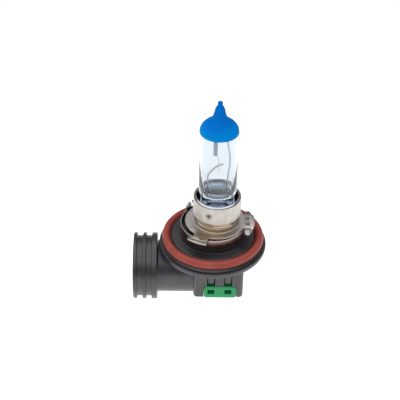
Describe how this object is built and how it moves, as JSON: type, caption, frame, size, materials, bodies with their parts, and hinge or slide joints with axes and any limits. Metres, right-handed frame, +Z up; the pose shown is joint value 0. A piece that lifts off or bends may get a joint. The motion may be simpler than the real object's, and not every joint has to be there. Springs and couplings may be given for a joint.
{
  "type": "right-angle halogen headlight bulb",
  "caption": "Halogen headlight bulb with a blue-tipped glass burner, welded metal holder with keyed lugs, red seal ring and a right-angle plug socket with a sliding terminal lock.",
  "frame": {"origin": "on the axis of the 19 mm reference ring, in the plane of the top faces of the three welded tabs, from which the light centre height is counted", "axes": "+Z up the lamp axis to the glass tip, -X out of the plug socket, -Y out of the terminal lock's face"},
  "size_m": [0.0389, 0.0312, 0.0676],
  "materials": {
    "quartz_glass": "clear fused quartz with a faint blue tint",
    "blue_lacquer": "glossy baked blue filter lacquer",
    "tungsten": "drawn tungsten, dark grey",
    "molybdenum": "drawn molybdenum, satin grey",
    "spring_steel": "bright spring steel strip",
    "stainless_sheet": "drawn satin stainless sheet",
    "nickel_sheet": "warm nickel-plated pressed sheet",
    "white_insulator": "off-white moulded insulator",
    "potting_silicone": "dark cast silicone",
    "tinned_brass": "tin-plated brass strip",
    "black_plastic": "glass-filled black moulding, satin",
    "red_silicone": "brick-red silicone, soft satin",
    "green_plastic": "mid-green moulding, satin"
  },
  "bodies": {
    "lamp": {"glass_envelope": "quartz_glass", "dome_lacquer": "blue_lacquer", "filament_coil": "tungsten", "short_lead": "molybdenum", "long_lead": "molybdenum", "seal_foil_short": "molybdenum", "seal_foil_long": "molybdenum", "lead_pin_short": "molybdenum", "lead_pin_long": "molybdenum", "pinch_clip": "spring_steel", "burner_collar": "stainless_sheet", "base_sleeve": "nickel_sheet", "reference_ring": "stainless_sheet", "lead_spacer": "white_insulator", "base_potting": "potting_silicone", "lead_sleeve_short": "nickel_sheet", "lead_sleeve_long": "nickel_sheet", "terminal_short": "tinned_brass", "terminal_long": "tinned_brass", "base_housing": "black_plastic", "seal_ring": "red_silicone"},
    "lock": {"terminal_lock": "green_plastic"}
  },
  "joints": [
    {"name": "lock_slide", "type": "slide", "parent": "lamp", "child": "lock", "axis": [0, -1, 0], "range_m": [0, 0.0022]}
  ]
}
